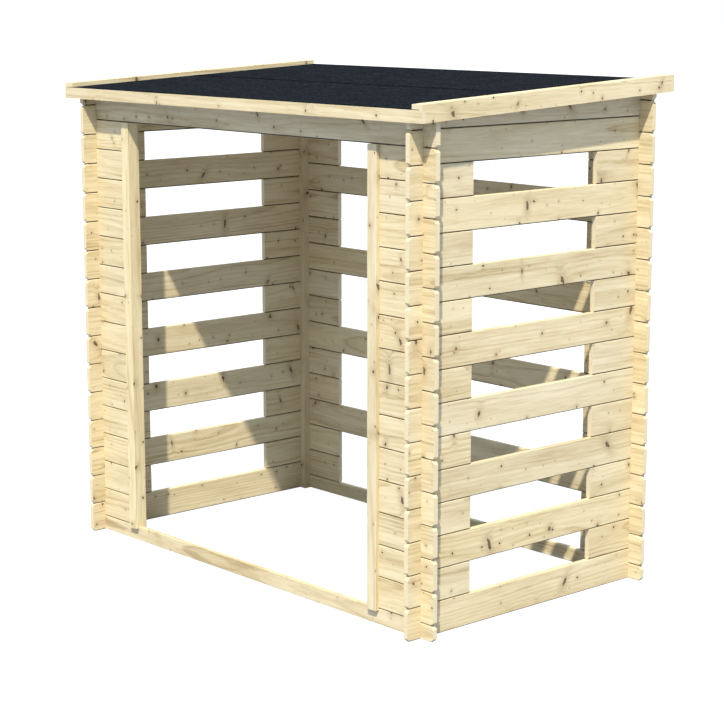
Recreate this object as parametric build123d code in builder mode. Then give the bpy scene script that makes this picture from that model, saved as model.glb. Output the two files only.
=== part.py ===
"""Log store: an open-fronted lean-to of interlocking planks laid on edge.

Millimetres, +Z up, front towards -Y. The origin is on the ground, at the middle of the plan.
Every plank stands on edge. The front and rear walls start with a half plank, so their courses
lie half a plank above those of the side walls, and each crossing is notched a quarter of a
plank deep from above and from below, so that the planks lock into each other.
"""

import os

from build123d import *

# Planks
cover = 114.0            # height of one plank, and so of one course
thick = 19.0             # thickness of a plank
front_length = 2000.0    # planks of the front and rear walls
side_length = 1200.0     # planks of the side walls
overhang = 60.0          # how far a plank runs past the wall that it crosses
side_courses = 15        # whole courses of a side wall, under its gable
edge_bevel = 2.0         # bevels along the upper edges
joint_gap = 3.0          # height of the shadow gap along each joint
joint_depth = 5.0        # how far the shadow gap goes in from each face
end_bevel = 12.0         # cut corners of the ends that stick out
notch_play = 0.3         # play on each side of a crossing plank

# Short planks beside the openings
side_front_stub = 290.0  # length, at the front end of a side wall
side_rear_stub = 300.0   # length, at the rear end of a side wall
rear_stub = 300.0        # length, at both ends of the rear wall

# Slotted posts of the front opening
jamb_reach = 190.0       # from a side wall's inner face to the post
jamb_width = 45.0        # across the opening
jamb_depth = 51.0        # from front to back
jamb_round = 2.0         # rounded arrises
slot_depth = 25.0        # of the groove that takes the short planks
slot_play = 0.5          # on each side of a plank in the groove
end_play = 1.0           # between a plank's end and the groove's bottom
foot_drop = 6.0          # how far the post's foot straddles the sill

# Battens in the rear corners
batten_size = 28.0

# Roof
roof_rise = 58.3         # over the length of a side plank, from front to rear
board_thick = 16.0       # roof boards
board_count = 18
board_gap = 0.5
felt_thick = 2.0
felt_lap = 50.0          # width of the lap between the two lengths of felt
felt_seam = -20.0        # where the rear length's lower edge lies
fascia_thick = 16.0
fascia_height = 42.0
strip_thick = 16.0       # strips that hold down the felt, beside the side fascias
strip_width = 34.0

# Worked out from the above
half = cover / 2
notch = cover / 4
outer_x = front_length / 2 - overhang     # outer faces of the side walls
outer_y = side_length / 2 - overhang      # outer faces of the front and rear walls
inner_x = outer_x - thick
inner_y = outer_y - thick
side_top = side_courses * cover           # underside of the gables
header_bottom = side_top - half
header_top = side_top + half
stub_courses = side_courses - 1
groove = thick + 2 * slot_play
slope = roof_rise / side_length


def roof_height(y, above=0.0):
    """Height of the boards' underside at y, or of a layer above it."""
    return header_top + slope * (y + outer_y) + above


def save(part, name):
    """Label a finished piece and write it to its own file."""
    part.label = name
    export_step(part, f"parts/{name}.step")


def shadow_gaps(middle, bottom):
    """Cut a rebate along both lower edges of a plank, from the sketch being drawn."""
    with Locations((middle - thick / 2, bottom), (middle + thick / 2, bottom)):
        Rectangle(2 * joint_depth, 2 * joint_gap, mode=Mode.SUBTRACT)


def plank_profile(bottom, top, bevelled=True):
    """Cross-section of a plank, centred on the sketch's Y axis."""
    height = top - bottom
    with BuildSketch() as profile:
        with Locations((0, bottom + height / 2)):
            Rectangle(thick, height)
        if bevelled:
            chamfer(profile.vertices().group_by(Axis.Y)[-1], edge_bevel)
        shadow_gaps(0, bottom)
    return profile.sketch


def elevation(start, end, bottom, top, cut_ends, notches):
    """Side view of a plank: its length, its cut corners, and its notches.

    notches holds (place along the plank, bottom, top) of each piece cut away.
    """
    with BuildSketch() as view:
        with Locations(((start + end) / 2, (bottom + top) / 2)):
            Rectangle(end - start, top - bottom)
        ends = [v for v in view.vertices() if any(abs(v.X - x) < 1e-6 for x in cut_ends)]
        if ends:
            chamfer(ends, end_bevel)
        for place, low, high in notches:
            with Locations((place, (low + high) / 2)):
                Rectangle(thick + 2 * notch_play, high - low, mode=Mode.SUBTRACT)
    return view.sketch


def side_plank(x, start, end, bottom, top, cut_ends, notches):
    """A plank of a side wall, with its outer and inner faces about the plane at x."""
    with BuildPart() as plank:
        with BuildSketch(Plane.XZ.offset(-start)):
            with Locations((x, 0)):
                add(plank_profile(bottom, top))
        extrude(amount=-(end - start))
        with BuildSketch(Plane.YZ.offset(x)):
            add(elevation(start, end, bottom, top, cut_ends, notches))
        extrude(amount=thick, both=True, mode=Mode.INTERSECT)
    return plank.part


def cross_plank(y, start, end, bottom, top, cut_ends, notches):
    """A plank of the front or rear wall, about the plane at y."""
    with BuildPart() as plank:
        with BuildSketch(Plane.YZ.offset(start)):
            with Locations((y, 0)):
                add(plank_profile(bottom, top))
        extrude(amount=end - start)
        with BuildSketch(Plane.XZ.offset(-y)):
            add(elevation(start, end, bottom, top, cut_ends, notches))
        extrude(amount=thick, both=True, mode=Mode.INTERSECT)
    return plank.part


def both_notches(place, bottom, top):
    """The quarter-height notches above and below, where a plank is crossed."""
    return [(place, bottom, bottom + notch), (place, top - notch, top)]


def joined(pieces):
    """Like planks that lie apart, as one part."""
    with BuildPart() as group:
        for piece in pieces:
            add(piece)
    return group.part


os.makedirs("parts", exist_ok=True)

wall_x = outer_x - thick / 2     # middle planes of the walls
wall_y = outer_y - thick / 2
long_x = front_length / 2        # ends of the long planks
long_y = side_length / 2


# Side walls: full planks in the odd courses
def side_rail(x, course):
    bottom = (course - 1) * cover
    top = bottom + cover
    notches = both_notches(-wall_y, bottom, top) + both_notches(wall_y, bottom, top)
    return side_plank(x, -long_y, long_y, bottom, top, (-long_y, long_y), notches)


# Short planks in the even courses, with the openings between them
def side_stub(x, course, front):
    bottom = (course - 1) * cover
    top = bottom + cover
    if front:
        notches = both_notches(-wall_y, bottom, top)
        return side_plank(x, -long_y, -long_y + side_front_stub, bottom, top, (-long_y,), notches)
    notches = both_notches(wall_y, bottom, top)
    return side_plank(x, long_y - side_rear_stub, long_y, bottom, top, (long_y,), notches)


# The tapered plank between the top course and the roof
rear_lap = (header_top + roof_height(wall_y)) / 2


def gable(x):
    with BuildPart() as plank:
        with BuildSketch(Plane.XZ.offset(long_y)):
            with Locations((x, 0)):
                add(plank_profile(side_top, roof_height(long_y), bevelled=False))
        extrude(amount=-side_length)
        with BuildSketch(Plane.YZ.offset(x)):
            with BuildLine():
                Polyline(
                    (-long_y, side_top),
                    (long_y, side_top),
                    (long_y, roof_height(long_y)),
                    (-long_y, roof_height(-long_y)),
                    close=True,
                )
            make_face()
            chamfer(vertices().group_by(Axis.Y)[0], end_bevel)
            low = (side_top + notch / 2)
            for place in (-wall_y, wall_y):
                with Locations((place, low)):
                    Rectangle(thick + 2 * notch_play, notch, mode=Mode.SUBTRACT)
            with Locations((wall_y, rear_lap + half / 2)):
                Rectangle(thick + 2 * notch_play, half, mode=Mode.SUBTRACT)
        extrude(amount=thick, both=True, mode=Mode.INTERSECT)
    return plank.part


for side, x in (("left", -wall_x), ("right", wall_x)):
    odd = range(1, side_courses + 1, 2)
    even = range(2, side_courses + 1, 2)
    lower = [course for course in odd if course <= side_courses / 2]
    upper = [course for course in odd if course > side_courses / 2]
    save(joined(side_rail(x, course) for course in lower), f"{side}_rails_lower")
    save(joined(side_rail(x, course) for course in upper), f"{side}_rails_upper")
    save(joined(side_stub(x, course, True) for course in even), f"{side}_front_stubs")
    save(joined(side_stub(x, course, False) for course in even), f"{side}_rear_stubs")
    save(gable(x), f"{side}_gable")


# Front and rear walls
def half_plank(y):
    """The plank on the ground, ripped to half its height."""
    notches = [(x, notch, half) for x in (-wall_x, wall_x)]
    return cross_plank(y, -long_x, long_x, 0, half, (-long_x, long_x), notches)


def cross_rail(y, course):
    """A full plank, in a course counted from the half plank up."""
    bottom = half + (course - 1) * cover
    top = bottom + cover
    notches = both_notches(-wall_x, bottom, top) + both_notches(wall_x, bottom, top)
    return cross_plank(y, -long_x, long_x, bottom, top, (-long_x, long_x), notches)


def cross_stub(y, course, side, length):
    """A short plank at the left (-1) or right (1) end of the front or rear wall."""
    bottom = half + (course - 1) * cover
    top = bottom + cover
    tip = side * long_x
    start, end = sorted((tip, tip - side * length))
    return cross_plank(y, start, end, bottom, top, (tip,), both_notches(side * wall_x, bottom, top))


header_course = stub_courses + 1
jamb_outer = inner_x - jamb_reach                                  # the post's outer face
front_stub = long_x - jamb_outer + slot_depth - end_play           # length of a front short plank

save(half_plank(-wall_y), "front_sill")
save(cross_rail(-wall_y, header_course), "front_header")
save(half_plank(wall_y), "rear_sill")
save(cross_rail(wall_y, header_course), "rear_header")

rear_rails = (3, 6, 9, 12)
for number, course in enumerate(rear_rails, start=1):
    save(cross_rail(wall_y, course), f"rear_rail_{number}")

for side, sign in (("left", -1), ("right", 1)):
    for row, first in (("odd", 1), ("even", 2)):
        front_row = range(first, stub_courses + 1, 2)
        rear_row = [course for course in front_row if course not in rear_rails]
        front_planks = [cross_stub(-wall_y, course, sign, front_stub) for course in front_row]
        rear_planks = [cross_stub(wall_y, course, sign, rear_stub) for course in rear_row]
        save(joined(front_planks), f"front_{side}_stubs_{row}")
        save(joined(rear_planks), f"rear_{side}_stubs_{row}")

# The piece ripped to fill between the rear header and the roof
with BuildPart() as rear_top_board:
    with BuildSketch(Plane.YZ.offset(-long_x)):
        with BuildLine():
            Polyline(
                (inner_y, header_top),
                (outer_y, header_top),
                (outer_y, roof_height(outer_y)),
                (inner_y, roof_height(inner_y)),
                close=True,
            )
        make_face()
        shadow_gaps(wall_y, header_top)
    extrude(amount=front_length)
    with BuildSketch(Plane.XZ.offset(-wall_y)):
        with Locations((0, header_top + half / 2)):
            Rectangle(front_length, half)
        chamfer(vertices().group_by(Axis.Y)[0], end_bevel)
        for x in (-wall_x, wall_x):
            with Locations((x, (header_top + rear_lap) / 2)):
                Rectangle(thick + 2 * notch_play, rear_lap - header_top, mode=Mode.SUBTRACT)
    extrude(amount=thick, both=True, mode=Mode.INTERSECT)
save(rear_top_board.part, "rear_top_board")


# Slotted posts beside the front opening
def jamb_post(side):
    """A post whose groove faces the side wall and whose foot straddles the sill."""
    centre = side * (jamb_outer - jamb_width / 2)
    foot = half - foot_drop
    with BuildPart() as post:
        with BuildSketch(Plane.XY.offset(foot)):
            with Locations((centre, -wall_y)):
                Rectangle(jamb_width, jamb_depth)
            fillet(vertices(), jamb_round)
            with Locations((side * (jamb_outer - slot_depth / 2), -wall_y)):
                Rectangle(slot_depth, groove, mode=Mode.SUBTRACT)
        extrude(amount=header_bottom - foot)
        with Locations((centre, -wall_y, foot + foot_drop / 2)):
            Box(jamb_width, groove, foot_drop, mode=Mode.SUBTRACT)
    return post.part


for side, sign in (("left", -1), ("right", 1)):
    save(jamb_post(sign), f"{side}_jamb_post")
    with BuildPart() as batten:
        with BuildSketch():
            with Locations((sign * (inner_x - batten_size / 2), inner_y - batten_size / 2)):
                Rectangle(batten_size, batten_size)
        extrude(amount=header_top)
    save(batten.part, f"rear_{side}_batten")


# Roof: every piece is drawn from the side and follows the same slope
def roof_piece(x, width, outline):
    """A piece about the plane at x, drawn as (y, height over the boards' underside)."""
    with BuildPart() as piece:
        with BuildSketch(Plane.YZ.offset(x - width / 2)):
            with BuildLine():
                Polyline(*[(y, roof_height(y, above)) for y, above in outline], close=True)
            make_face()
        extrude(amount=width)
    return piece.part


def layer(x, width, front, back, below, above):
    """A piece between two heights over the boards' underside."""
    return roof_piece(x, width, [(front, below), (back, below), (back, above), (front, above)])


board_pitch = (front_length + board_gap) / board_count
board_width = board_pitch - board_gap
board_middles = [(n - (board_count - 1) / 2) * board_pitch for n in range(board_count)]
boards = [layer(x, board_width, -long_y, long_y, 0, board_thick) for x in board_middles]
save(joined(boards), "roof_boards")

eave_x = long_x + fascia_thick
eave_y = long_y + fascia_thick
fascia_foot = board_thick - fascia_height
felt_top = board_thick + felt_thick
strip_top = felt_top + strip_thick
for name, back in (("front_fascia", -long_y), ("rear_fascia", eave_y)):
    save(layer(0, 2 * eave_x, back - fascia_thick, back, fascia_foot, board_thick), name)

# The side fascias stand past the felt, and reach over the ends of the front and rear ones
side_fascia = [
    (-long_y, fascia_foot),
    (long_y, fascia_foot),
    (long_y, board_thick),
    (eave_y, board_thick),
    (eave_y, strip_top),
    (-eave_y, strip_top),
    (-eave_y, board_thick),
    (-long_y, board_thick),
]
for side, sign in (("left", -1), ("right", 1)):
    fascia_x = sign * (long_x + fascia_thick / 2)
    strip_x = sign * (long_x - strip_width / 2)
    strip = layer(strip_x, strip_width, -eave_y, eave_y, felt_top, strip_top)
    save(roof_piece(fascia_x, fascia_thick, side_fascia), f"{side}_fascia")
    save(strip, f"{side}_cover_strip")

# The felt's two lengths are halved where they lap, so that their top stays even
lap_height = board_thick + felt_thick / 2
lap_back = felt_seam + felt_lap
felt_front = [
    (-eave_y, board_thick),
    (lap_back, board_thick),
    (lap_back, lap_height),
    (felt_seam, lap_height),
    (felt_seam, felt_top),
    (-eave_y, felt_top),
]
felt_rear = [
    (lap_back, board_thick),
    (eave_y, board_thick),
    (eave_y, felt_top),
    (felt_seam, felt_top),
    (felt_seam, lap_height),
    (lap_back, lap_height),
]
save(roof_piece(0, front_length, felt_front), "felt_front")
save(roof_piece(0, front_length, felt_rear), "felt_rear")
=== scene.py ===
"""Looks for the log store: finishes for its wood and roofing felt, light and camera."""

import math
from collections import namedtuple
from types import SimpleNamespace

import bpy
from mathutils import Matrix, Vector


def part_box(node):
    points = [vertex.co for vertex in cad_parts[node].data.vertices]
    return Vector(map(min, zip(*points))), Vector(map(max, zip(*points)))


X, Y, Z = 0, 1, 2
WHITE = (1.0, 1.0, 1.0)

# Camera, in the place of the photograph's
CAMERA_AT = (5.5959, -4.9482, 2.1585)
CAMERA_YAW = 48.329
CAMERA_PITCH = 10.665
LENS = 98.66
SENSOR = 36.0

# Light
TO_SUN = (0.474, -0.568, 1.0)
SUN_STRENGTH = 5.35
SUN_WIDTH = 1.2         # degrees across, for the softness of the shadows
SUN_COLOUR = (1.0, 0.965, 0.90)
HORIZON = (0.47, 0.54, 0.66)
ZENITH = (0.95, 1.10, 1.36)

# Floor: what it throws back on the part, and what the camera sees
FLOOR_BOUNCE = (0.275, 0.305, 0.375)
FLOOR_SEEN = (0.16, 0.16, 0.16)
FLOOR_GLOW = 0.95
FLOOR_REACH = 90.0
FLOOR_DROP = 0.0005     # keeps it clear of the part's undersides

# Sizes of the part that the finishes follow, in metres
COURSE = 0.114          # height of a plank
SIDE_OFFSET = 0.0       # courses of the side walls start at the ground
CROSS_OFFSET = 0.5      # front and rear walls start with half a plank
BOARDS = 18
BOARD_PITCH = 2.0005 / BOARDS
WALL_X = 0.9305         # middle planes of the walls
WALL_Y = 0.5305
POST_X = 0.7085         # middle of a slotted post
BATTEN_X = 0.907        # middle of a rear batten
BATTEN_Y = 0.507
ROOF_Z = 1.8            # about the middle of the roof boards
CROSS_FASCIA_Z = 1.76   # middles of the front and rear fascias
CROSS_FASCIA_Y = 0.608
SIDE_FASCIA_Z = 1.775   # middles of the side fascias
SIDE_FASCIA_X = 1.008
STRIP_X = 0.983         # middles of the strips over the felt
STRIP_Z = 1.82
WHOLE = 9.0             # a pitch that makes one plank of each node
CENTRED = 0.5           # the offset that puts a plank's middle at the origin

# How planks lie: the axis they run along, the axis they are stacked across, their pitch and
# its offset, the middles of a plank across and through, and a seed. With no middle across,
# each plank's own middle counts.
Lay = namedtuple("Lay", "along across pitch offset middle_across middle_through seed")

# The kind of face is told from how far it turns to an axis
EDGE_TURN = (0.8, 0.9)
END_TURN = (0.55, 0.85)
SKIN = 0.001            # how far inside the surface a plank is recognised

# What keeps planks from sharing a pattern: factors on a node's random number, and the
# factors and offsets of the shift along and across
NODE_KEYS = (91.0, 57.0)
SECOND_SEED = 5.5
SHIFT_ALONG = (31.0, 3.0)
SHIFT_ACROSS = (17.0, 5.0)
SHIFT_EDGE = 0.043

# Growth rings: their spacings, the shift of a plank's first one, and the parts of a ring
# in which it darkens and ends
RING = 0.0034
BOLD_RING = 0.0125
RING_SHIFT = 60.0
RING_DARKENS = (0.3, 0.88)
RING_ENDS = (0.9, 1.0)

# The pith that the rings go round: its ranges across the plank, slant and wander along it,
# the ripple of the rings, and its distance behind the plank as a factor and an offset
PITH_ACROSS = 0.15
PITH_SLANT = 0.06
PITH_WANDER = 0.07
PITH_WANDER_SCALE = 1.3
PITH_BEHIND = (0.085, 0.018)
RIPPLE = 0.009

# Scales of the wood's patterns along, across and through a plank
RIPPLES = (6.0, 16.0, 1.0)
FIBRES = (14.0, 900.0, 900.0)
STREAKS = (13.0, 250.0, 250.0)
CLOUDS = (2.6, 18.0, 18.0)
SAW_MARKS = (220.0, 60.0, 1.0)
BANDS = (70.0, 0.3)     # by distance from the pith and along the plank

# How much each part of the grain darkens the wood, as factors and offsets
FINE_DEPTH = (0.12, 0.0)
BOLD_DEPTH = (0.38, 0.0)
BAND_DEPTH = (0.85, -0.4)
STREAK_DEPTH = (0.85, -0.4)
FIBRE_DEPTH = (0.3, -0.15)
CLOUD_DEPTH = (1.1, -0.2)
SAWN_RING_DEPTH = (0.4, 0.0)
SAWN_MARK_DEPTH = (0.8, -0.25)

# How much each part stands out, in shares of the wood's relief
RING_RELIEF = 0.5
FIBRE_RELIEF = 0.9
KNOT_RELIEF = -0.8
SAWN_RELIEF = 2.0
WOOD_RELIEF = {"Strength": 0.35, "Distance": 0.0004}
WOOD_ROUGHNESS = (0.10, 0.60)
KNOT_ROUGHNESS = -0.15

# Knots: where they are, how large, how steep and how drawn out. Lengths are in metres,
# lean in radians.
Knots = namedtuple("Knots", "spacing smallest largest share lean stretch shift")
SMALL_KNOTS = Knots(0.070, 0.0010, 0.0042, 0.6, 3.0, 0.5, (0.0, 0.0))
LARGE_KNOTS = Knots(0.18, 0.003, 0.0075, 0.62, 1.6, 2.6, (9.3, 4.1))
KNOT_SCATTER = 0.9
KNOT_HEIGHT = 0.9       # the least height of a knot, in widths
NO_KNOT = 0.00002       # a radius that divides safely and doesn't show
OUTLINE_SCALE = 130.0
OUTLINE_RANGE = 1.8
CORE_EDGE = (0.8, 1.12)
HALO_FALL = -0.09
GRAIN_PUSH = 0.8
KNOT_YEARS = 26.0       # how closely the rings of a large knot lie
YEAR_SHARE = 0.4
RIM_EDGE = (0.4, 0.9)
SMALL_HALO = 0.36       # how strongly the wood is stained round a knot
LARGE_HALO = 0.6
MOST_HALO = 0.75
CORE_SHADE = 0.92

# The gap under a plank, where shade is painted, in metres above its lower edge and from its
# middle plane; LIP is the band of face just above it that gets a softer painted shade of
# strength LIP_SHADE
GAP_FROM = 0.0002
GAP_TO = 0.0034
GAP_FLOOR = 0.0085
LIP = (0.0030, 0.0058)
LIP_SHADE = 0.85

# Colours of the wood
SPRUCE = [
    (0.0, (0.765, 0.665, 0.44)),
    (0.35, (0.69, 0.585, 0.365)),
    (0.7, (0.59, 0.475, 0.27)),
    (1.0, (0.43, 0.325, 0.17)),
]
PLANK_TINTS = [
    (0.0, (1.0, 1.0, 1.0)),
    (0.3, (1.02, 0.99, 0.92)),
    (0.5, (0.97, 0.975, 0.99)),
    (0.75, (1.0, 0.965, 0.91)),
    (1.0, (0.935, 0.925, 0.90)),
]
SAWN_END = [(0.0, (0.72, 0.615, 0.395)), (1.0, (0.53, 0.41, 0.23))]
KNOT_HALO = (0.40, 0.28, 0.14)
SMALL_KNOT = (0.045, 0.027, 0.014)
LARGE_KNOT = (0.15, 0.092, 0.048)
KNOT_RIM = (0.03, 0.019, 0.011)
# painted shade: the colour laid in the gap under a plank and on the lip of face above it
GAP_SHADE_COLOUR = (0.015, 0.012, 0.009)
WOOD_SPECULAR = 0.28

# Felt: its colours, the scales of its patterns, and the bare band along the lap
FELT_GRIT = [
    (0.0, (0.005, 0.0065, 0.008)),
    (0.5, (0.0105, 0.013, 0.0155)),
    (1.0, (0.030, 0.034, 0.040)),
]
BITUMEN = (0.0008, 0.0008, 0.001)
GRIT_SCALE = 620.0
SPECKLE_SCALE = 150.0
FELT_CLOUD_SCALE = 14.0
BLEED_SCALE = 40.0
BLEED = 0.01
BARE_MIDDLE = 0.005     # how far past the rear felt's edge the bare band lies
BARE_EDGE = (0.006, 0.008)
FELT_EDGE_TURN = (-0.9, -0.5)
GRIT_SHADE = 0.45
SPECKLE_SHADE = 0.5
CLOUD_SHADE = (0.5, -0.22)
FELT_RELIEF = {"Strength": 0.5, "Distance": 0.0008}
FELT_ROUGHNESS = (0.1, 0.9)


class Tree:
    """The node tree of a material or a world, with one call for each kind of node."""

    def __init__(self, owner):
        self.owner = owner
        self.owner.use_nodes = True
        self.nodes = owner.node_tree.nodes
        self.links = owner.node_tree.links
        self.shader = self.nodes.get("Principled BSDF")

    def put(self, value, socket):
        """Links an output to a socket, or sets a plain value on it."""
        if isinstance(value, bpy.types.NodeSocket):
            self.links.new(value, socket)
        else:
            socket.default_value = value

    def surface(self, values):
        """Gives the shader its values."""
        for key, value in values.items():
            self.put(value, self.shader.inputs[key])

    def add(self, kind, inputs=None, **settings):
        node = self.nodes.new("ShaderNode" + kind)
        for key, value in settings.items():
            setattr(node, key, value)
        for key, value in (inputs or {}).items():
            self.put(value, node.inputs[key])
        return node

    def math(self, operation, a, b=0.0, c=0.0):
        return self.add("Math", {0: a, 1: b, 2: c}, operation=operation).outputs[0]

    def plus(self, a, b):
        return self.math("ADD", a, b)

    def minus(self, a, b):
        return self.math("SUBTRACT", a, b)

    def times(self, a, b):
        return self.math("MULTIPLY", a, b)

    def absolute(self, a):
        return self.math("ABSOLUTE", a)

    def largest(self, a, b):
        return self.math("MAXIMUM", a, b)

    def scaled(self, a, factor, offset=0.0):
        return self.math("MULTIPLY_ADD", a, factor, offset)

    def centred(self, chance, width):
        """Spreads a number from 0 to 1 over a range of that width round zero."""
        return self.scaled(chance, width, -width / 2)

    def total(self, *terms):
        """Sum of terms, each a value with its factor and perhaps an offset."""
        result = self.scaled(*terms[0])
        for term in terms[1:]:
            result = self.plus(result, self.scaled(*term))
        return result

    def hypotenuse(self, a, b):
        squares = [self.math("POWER", side, 2.0) for side in (a, b)]
        return self.math("SQRT", self.plus(*squares))

    def vector(self, x=0.0, y=0.0, z=0.0):
        return self.add("CombineXYZ", {0: x, 1: y, 2: z}).outputs[0]

    def stretched(self, parts, scales):
        """A point with each of its parts on a scale of its own."""
        return self.vector(*(self.times(part, scale) for part, scale in zip(parts, scales)))

    def parts(self, vector):
        return list(self.add("SeparateXYZ", {0: vector}).outputs)

    def step(self, value, low, high, start=0.0, end=1.0):
        """Smooth change from start to end as value goes from low to high."""
        node = self.add(
            "MapRange",
            {"Value": value, "From Min": low, "From Max": high, "To Min": start, "To Max": end},
            interpolation_type="SMOOTHSTEP",
        )
        return node.outputs[0]

    def mix(self, factor, a, b, blend="MIX"):
        """Blends two colours, which are inputs 6 and 7 of the node."""
        node = self.add("Mix", {0: factor, 6: a, 7: b}, data_type="RGBA", blend_type=blend)
        return node.outputs[2]

    def ramp(self, value, stops):
        node = self.add("ValToRGB", {0: value})
        elements = node.color_ramp.elements
        while len(elements) < len(stops):
            elements.new(0.5)
        for element, (position, colour) in zip(elements, stops):
            element.position = position
            element.color = rgba(colour)
        return node.outputs[0]

    def noise(self, vector, scale=1.0, detail=2.0, roughness=0.5):
        values = {"Vector": vector, "Scale": scale, "Detail": detail, "Roughness": roughness}
        return self.add("TexNoise", values).outputs[0]

    def random(self, a, b, c):
        """Three numbers from 0 to 1 that depend on a, b and c alone."""
        node = self.add("TexWhiteNoise", {"Vector": self.vector(a, b, c)})
        return self.parts(node.outputs["Color"])


def rgba(colour):
    return (*colour, 1.0)


def locate(tree, lay):
    """Where a point lies in its plank, the kind of face it is on, and the plank's chances."""
    through = ({X, Y, Z} - {lay.along, lay.across}).pop()
    place = tree.add("TexCoord").outputs["Object"]
    facing = tree.add("NewGeometry").outputs["True Normal"]
    inward = tree.add("VectorMath", {0: facing, 3: -SKIN}, operation="SCALE")
    inside = tree.add("VectorMath", {0: place, 1: inward.outputs[0]}, operation="ADD")
    inner = tree.parts(inside.outputs[0])
    outer = tree.parts(place)
    turns = [tree.absolute(part) for part in tree.parts(facing)]
    edge = tree.step(turns[lay.across], *EDGE_TURN)
    end = tree.step(turns[lay.along], *END_TURN)

    index = tree.math("FLOOR", tree.scaled(inner[lay.across], 1 / lay.pitch, lay.offset))
    own = tree.add("ObjectInfo").outputs["Random"]
    chances = tree.random(index, tree.scaled(own, NODE_KEYS[0]), lay.seed)
    chances += tree.random(index, tree.scaled(own, NODE_KEYS[1]), lay.seed + SECOND_SEED)

    u = outer[lay.along]
    if lay.middle_across is None:
        middle = tree.scaled(tree.minus(index, lay.offset - 0.5), -lay.pitch)
        v = tree.plus(outer[lay.across], middle)
    else:
        v = tree.minus(tree.absolute(outer[lay.across]), lay.middle_across)
    w = tree.minus(tree.absolute(outer[through]), lay.middle_through)
    shifted_u = tree.plus(u, tree.scaled(chances[0], *SHIFT_ALONG))
    shifted_v = tree.plus(v, tree.scaled(chances[1], *SHIFT_ACROSS))
    on_edge = tree.minus(tree.plus(w, SHIFT_EDGE), v)
    return SimpleNamespace(
        u=u,
        v=v,
        w=w,
        shifted_u=shifted_u,
        shifted_v=shifted_v,
        cross=tree.plus(shifted_v, tree.times(edge, on_edge)),
        edge=edge,
        end=end,
        side=tree.minus(1.0, end),
        chances=chances,
        saw_point=(outer[lay.across], outer[through], u),
    )


def knots(tree, spot, kind):
    """Scattered knots: their cores, halos, push on the grain, reach and presence."""
    u = tree.plus(spot.shifted_u, kind.shift[0])
    v = tree.plus(spot.cross, kind.shift[1])
    place = tree.vector(u, v)
    cells = tree.add(
        "TexVoronoi",
        {"Vector": place, "Scale": 1 / kind.spacing, "Randomness": KNOT_SCATTER},
        voronoi_dimensions="2D",
    )
    chance, spread, turn = tree.parts(cells.outputs["Color"])
    away = tree.add("VectorMath", {0: place, 1: cells.outputs["Position"]}, operation="SUBTRACT")
    du, dv, _ = tree.parts(away.outputs[0])

    present = tree.math("LESS_THAN", chance, kind.share)
    bigness = tree.times(spread, spread)
    radius = tree.scaled(bigness, kind.largest - kind.smallest, kind.smallest)
    radius = tree.plus(tree.times(present, radius), NO_KNOT)
    drawn = tree.scaled(tree.times(turn, turn), kind.stretch, KNOT_HEIGHT)
    tall = tree.times(radius, drawn)
    angle = tree.scaled(chance, kind.lean / kind.share, -kind.lean / 2)
    cosine = tree.math("COSINE", angle)
    sine = tree.math("SINE", angle)
    short_way = tree.plus(tree.times(du, cosine), tree.times(dv, sine))
    long_way = tree.minus(tree.times(dv, cosine), tree.times(du, sine))
    reach = tree.hypotenuse(
        tree.math("DIVIDE", short_way, radius), tree.math("DIVIDE", long_way, tall))
    uneven = tree.centred(tree.noise(place, OUTLINE_SCALE), OUTLINE_RANGE)
    reach = tree.largest(tree.plus(reach, uneven), 0.0)

    halo = tree.math("EXPONENT", tree.scaled(tree.times(reach, reach), HALO_FALL))
    return SimpleNamespace(
        core=tree.step(reach, *CORE_EDGE, 1.0, 0.0),
        halo=halo,
        push=tree.times(tree.times(dv, halo), GRAIN_PUSH),
        reach=reach,
        present=present,
    )


def rings(tree, distance, spacing, shift, key):
    """Growth rings of one spacing, pale at first and dark at their outer side."""
    turns = tree.plus(tree.times(distance, 1 / spacing), tree.scaled(shift, RING_SHIFT))
    within = tree.math("FRACT", turns)
    strength = tree.random(tree.math("FLOOR", turns), shift, key)[0]
    darkens = tree.step(within, *RING_DARKENS)
    ends = tree.step(within, *RING_ENDS, 1.0, 0.0)
    return tree.times(tree.times(darkens, ends), strength)


def grain(tree, spot, push):
    """Rings round a pith that lies behind the plank and wanders along it, and the fibres."""
    first, second, third, fourth, fifth, sixth = spot.chances
    point = (spot.shifted_u, spot.shifted_v, spot.w)
    push_w = tree.times(push, spot.edge)
    push_v = tree.minus(push, push_w)
    path = tree.vector(tree.times(spot.shifted_u, PITH_WANDER_SCALE), third, 2.0)
    wander = tree.centred(tree.noise(path, detail=1.0), PITH_WANDER)
    slant = tree.times(tree.centred(fourth, PITH_SLANT), spot.u)
    ripple = tree.centred(tree.noise(tree.stretched(point, RIPPLES)), RIPPLE)
    pith_v = tree.plus(spot.v, tree.centred(fifth, PITH_ACROSS))
    pith_v = tree.plus(pith_v, tree.plus(push_v, ripple))
    pith_w = tree.plus(spot.w, tree.scaled(sixth, *PITH_BEHIND))
    pith_w = tree.plus(pith_w, tree.plus(wander, slant))
    distance = tree.hypotenuse(pith_v, tree.plus(pith_w, push_w))

    fine = rings(tree, distance, RING, first, second)
    bold = rings(tree, distance, BOLD_RING, second, first)
    layers = tree.vector(
        tree.times(distance, BANDS[0]), tree.times(spot.shifted_u, BANDS[1]), third)
    band = tree.noise(layers, detail=2.0, roughness=0.55)
    fibre = tree.noise(tree.stretched(point, FIBRES), detail=2.0)
    streak = tree.noise(tree.stretched(point, STREAKS), detail=3.0, roughness=0.6)
    cloud = tree.noise(tree.stretched(point, CLOUDS), detail=3.0, roughness=0.6)
    depth = tree.total(
        (fine, *FINE_DEPTH),
        (bold, *BOLD_DEPTH),
        (band, *BAND_DEPTH),
        (streak, *STREAK_DEPTH),
        (fibre, *FIBRE_DEPTH),
        (cloud, *CLOUD_DEPTH),
    )
    return fine, fibre, depth


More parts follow.
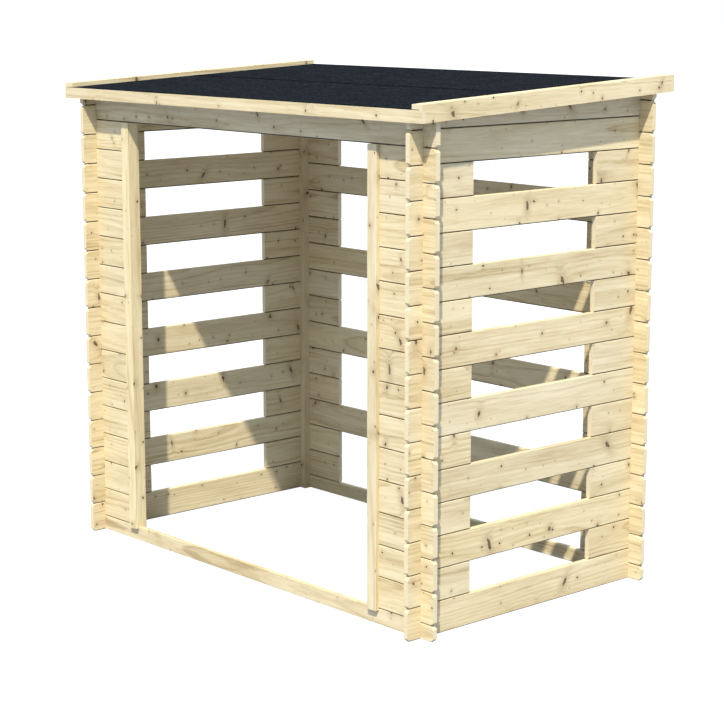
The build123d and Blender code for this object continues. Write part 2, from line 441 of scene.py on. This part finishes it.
def knot_colours(tree, colour, spot, small, large):
    """Lays the knots over the wood's colour, and gives their cores for the surface."""
    halo = tree.plus(
        tree.times(small.halo, tree.times(small.present, SMALL_HALO)),
        tree.times(large.halo, tree.times(large.present, LARGE_HALO)),
    )
    halo = tree.math("MINIMUM", halo, MOST_HALO)
    colour = tree.mix(tree.times(halo, spot.side), colour, rgba(KNOT_HALO))
    core = tree.times(tree.largest(small.core, large.core), spot.side)
    centre = tree.mix(large.core, rgba(SMALL_KNOT), rgba(LARGE_KNOT))
    year = tree.scaled(tree.math("SINE", tree.times(large.reach, KNOT_YEARS)), 0.5, 0.5)
    rim = tree.largest(tree.times(year, YEAR_SHARE), tree.step(large.reach, *RIM_EDGE))
    centre = tree.mix(tree.times(large.core, rim), centre, rgba(KNOT_RIM))
    return tree.mix(tree.times(core, CORE_SHADE), colour, centre), core


def painted_gap_shade(tree, colour, spot, lay):
    """Darkens the narrow gap under a plank with painted shade, since little light comes from it,
    and paints a softer shade on the face just above the gap.
    """
    above = tree.plus(spot.v, lay.pitch / 2)
    higher = tree.math("GREATER_THAN", above, GAP_FROM)
    gap = tree.times(higher, tree.math("LESS_THAN", above, GAP_TO))
    gap = tree.times(gap, tree.math("LESS_THAN", tree.absolute(spot.w), GAP_FLOOR))
    # painted shade on the face just above the gap, fading upwards
    painted_lip = tree.times(tree.step(above, *LIP, LIP_SHADE, 0.0), higher)
    shade = tree.times(tree.largest(gap, painted_lip), spot.side)
    return tree.mix(shade, colour, rgba(GAP_SHADE_COLOUR))


def wood(name, lay):
    """Planed softwood whose growth rings are cut as in real boards."""
    tree = Tree(bpy.data.materials.new(name))
    spot = locate(tree, lay)
    small = knots(tree, spot, SMALL_KNOTS)
    large = knots(tree, spot, LARGE_KNOTS)
    fine, fibre, depth = grain(tree, spot, tree.plus(small.push, large.push))

    tint = tree.ramp(spot.chances[2], PLANK_TINTS)
    colour = tree.mix(1.0, tree.ramp(depth, SPRUCE), tint, "MULTIPLY")
    colour, core = knot_colours(tree, colour, spot, small, large)
    saw = tree.noise(tree.stretched(spot.saw_point, SAW_MARKS), detail=3.0)
    sawn = tree.total((fine, *SAWN_RING_DEPTH), (saw, *SAWN_MARK_DEPTH))
    colour = tree.mix(spot.end, colour, tree.ramp(sawn, SAWN_END))
    # painted shade in the gap under each stacked plank and on the face just above it
    if lay.middle_across is None:
        colour = painted_gap_shade(tree, colour, spot, lay)

    height = tree.total(
        (fine, RING_RELIEF),
        (fibre, FIBRE_RELIEF),
        (core, KNOT_RELIEF),
        (tree.times(spot.end, saw), SAWN_RELIEF),
    )
    bump = tree.add("Bump", {"Height": height, **WOOD_RELIEF})
    tree.surface({
        "Base Color": colour,
        "Roughness": tree.total((fibre, *WOOD_ROUGHNESS), (core, KNOT_ROUGHNESS)),
        "Specular IOR Level": WOOD_SPECULAR,
        "Normal": bump.outputs[0],
    })
    return tree.owner


def felt_finish():
    """Bitumen felt with a dark mineral grit, and bare black bitumen along the lap."""
    tree = Tree(bpy.data.materials.new("roofing_felt"))
    place = tree.add("TexCoord").outputs["Object"]
    grit = tree.add("TexVoronoi", {"Vector": place, "Scale": GRIT_SCALE})
    pick = tree.parts(grit.outputs["Color"])[0]
    speckles = tree.add("TexVoronoi", {"Vector": place, "Scale": SPECKLE_SCALE})
    speckle = tree.parts(speckles.outputs["Color"])[0]
    cloud = tree.noise(place, FELT_CLOUD_SCALE, 4.0, 0.65)
    shade = tree.total(
        (pick, GRIT_SHADE),
        (tree.times(speckle, speckle), SPECKLE_SHADE),
        (cloud, *CLOUD_SHADE),
    )
    colour = tree.ramp(shade, FELT_GRIT)

    facing_y = tree.parts(tree.add("NewGeometry").outputs["True Normal"])[Y]
    edge = tree.step(facing_y, *FELT_EDGE_TURN, 1.0, 0.0)
    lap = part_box("felt_rear")[0][1]
    from_lap = tree.absolute(tree.plus(tree.parts(place)[Y], BARE_MIDDLE - lap))
    bleed = tree.centred(tree.noise(place, BLEED_SCALE), BLEED)
    band = tree.step(tree.plus(from_lap, bleed), *BARE_EDGE, 1.0, 0.0)
    colour = tree.mix(tree.largest(edge, band), colour, rgba(BITUMEN))

    height = tree.total((grit.outputs["Distance"], -1.0), (pick, 0.7))
    bump = tree.add("Bump", {"Height": height, **FELT_RELIEF})
    tree.surface({
        "Base Color": colour,
        "Roughness": tree.scaled(pick, *FELT_ROUGHNESS),
        "Specular IOR Level": 0.0,
        "Normal": bump.outputs[0],
    })
    return tree.owner


def paint(material, names):
    """Gives a material to nodes of the frame."""
    for name in names:
        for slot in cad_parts[name].material_slots:
            slot.material = material


def planks_of(walls, kinds):
    """The nodes of those walls whose names hold one of the kinds."""
    return [
        name for name in sorted(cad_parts)
        if name.startswith(walls) and any(kind in name for kind in kinds)
    ]


def make_floor():
    """A floor that looks white to the camera, and throws a soft light back up."""
    far = FLOOR_REACH
    corners = [(-far, -far, 0), (far, -far, 0), (far, far, 0), (-far, far, 0)]
    mesh = bpy.data.meshes.new("floor")
    mesh.from_pydata(corners, [], [(0, 1, 2, 3)])
    floor = bpy.data.objects.new("floor", mesh)
    floor.location.z = -FLOOR_DROP
    bpy.context.scene.collection.objects.link(floor)
    tree = Tree(bpy.data.materials.new("pale_floor"))
    seen = tree.add("LightPath").outputs["Is Camera Ray"]
    tree.surface({
        "Base Color": tree.mix(seen, rgba(FLOOR_BOUNCE), rgba(FLOOR_SEEN)),
        "Roughness": 1.0,
        "Specular IOR Level": 0.0,
        "Emission Color": rgba(WHITE),
        "Emission Strength": tree.times(seen, FLOOR_GLOW),
    })
    mesh.materials.append(tree.owner)


def make_sky():
    """White behind the part, and a light that grows from the horizon upwards."""
    tree = Tree(bpy.data.worlds.new("sky"))
    seen = tree.add("LightPath").outputs["Is Camera Ray"]
    height = tree.parts(tree.add("TexCoord").outputs["Generated"])[Z]
    sky = tree.mix(height, rgba(HORIZON), rgba(ZENITH))
    ambient = tree.add("Background", {"Color": sky})
    backdrop = tree.add("Background", {"Color": rgba(WHITE)})
    both = tree.add(
        "MixShader", {0: seen, 1: ambient.outputs[0], 2: backdrop.outputs[0]})
    tree.put(both.outputs[0], tree.nodes["World Output"].inputs[0])
    bpy.context.scene.world = tree.owner


def make_sun():
    light = bpy.data.lights.new("sun", "SUN")
    light.energy = SUN_STRENGTH
    light.angle = math.radians(SUN_WIDTH)
    light.color = SUN_COLOUR
    sun = bpy.data.objects.new("sun", light)
    sun.rotation_mode = "QUATERNION"
    sun.rotation_quaternion = (-Vector(TO_SUN)).to_track_quat("-Z", "Y")
    bpy.context.scene.collection.objects.link(sun)


def make_camera():
    data = bpy.data.cameras.new("camera")
    data.lens = LENS
    data.sensor_width = SENSOR
    camera = bpy.data.objects.new("camera", data)
    camera.location = CAMERA_AT
    camera.rotation_euler = (math.radians(90 - CAMERA_PITCH), 0.0, math.radians(CAMERA_YAW))
    bpy.context.scene.collection.objects.link(camera)
    bpy.context.scene.camera = camera


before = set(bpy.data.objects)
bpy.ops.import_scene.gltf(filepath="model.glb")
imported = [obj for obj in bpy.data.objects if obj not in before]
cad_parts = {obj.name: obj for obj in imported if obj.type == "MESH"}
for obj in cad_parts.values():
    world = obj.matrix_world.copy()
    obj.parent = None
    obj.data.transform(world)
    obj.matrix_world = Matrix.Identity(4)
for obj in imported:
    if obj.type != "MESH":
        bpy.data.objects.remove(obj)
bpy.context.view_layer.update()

side_planks = planks_of(("left_", "right_"), ("rails", "stubs", "gable"))
cross_planks = planks_of(
    ("front_", "rear_"), ("rail", "stubs", "sill", "header", "top_board"))
wooden = [
    ("plank_wood_sides", Lay(Y, Z, COURSE, SIDE_OFFSET, None, WALL_X, 1.0), side_planks),
    ("plank_wood_cross", Lay(X, Z, COURSE, CROSS_OFFSET, None, WALL_Y, 2.0), cross_planks),
    ("post_wood_front", Lay(Z, X, WHOLE, CENTRED, POST_X, WALL_Y, 3.0),
     ["left_jamb_post", "right_jamb_post"]),
    ("post_wood_rear", Lay(Z, X, WHOLE, CENTRED, BATTEN_X, BATTEN_Y, 4.0),
     ["rear_left_batten", "rear_right_batten"]),
    ("roof_board_wood", Lay(Y, X, BOARD_PITCH, BOARDS / 2, None, ROOF_Z, 5.0),
     ["roof_boards"]),
    ("trim_wood_cross", Lay(X, Z, WHOLE, CENTRED, CROSS_FASCIA_Z, CROSS_FASCIA_Y, 6.0),
     ["front_fascia", "rear_fascia"]),
    ("trim_wood_sides", Lay(Y, Z, WHOLE, CENTRED, SIDE_FASCIA_Z, SIDE_FASCIA_X, 7.0),
     ["left_fascia", "right_fascia"]),
    ("trim_wood_strips", Lay(Y, X, WHOLE, CENTRED, STRIP_X, STRIP_Z, 8.0),
     ["left_cover_strip", "right_cover_strip"]),
]
for material_name, lay, nodes in wooden:
    paint(wood(material_name, lay), nodes)
paint(felt_finish(), ["felt_front", "felt_rear"])

make_floor()
make_sky()
make_sun()
make_camera()
bpy.context.scene.view_settings.view_transform = "Standard"
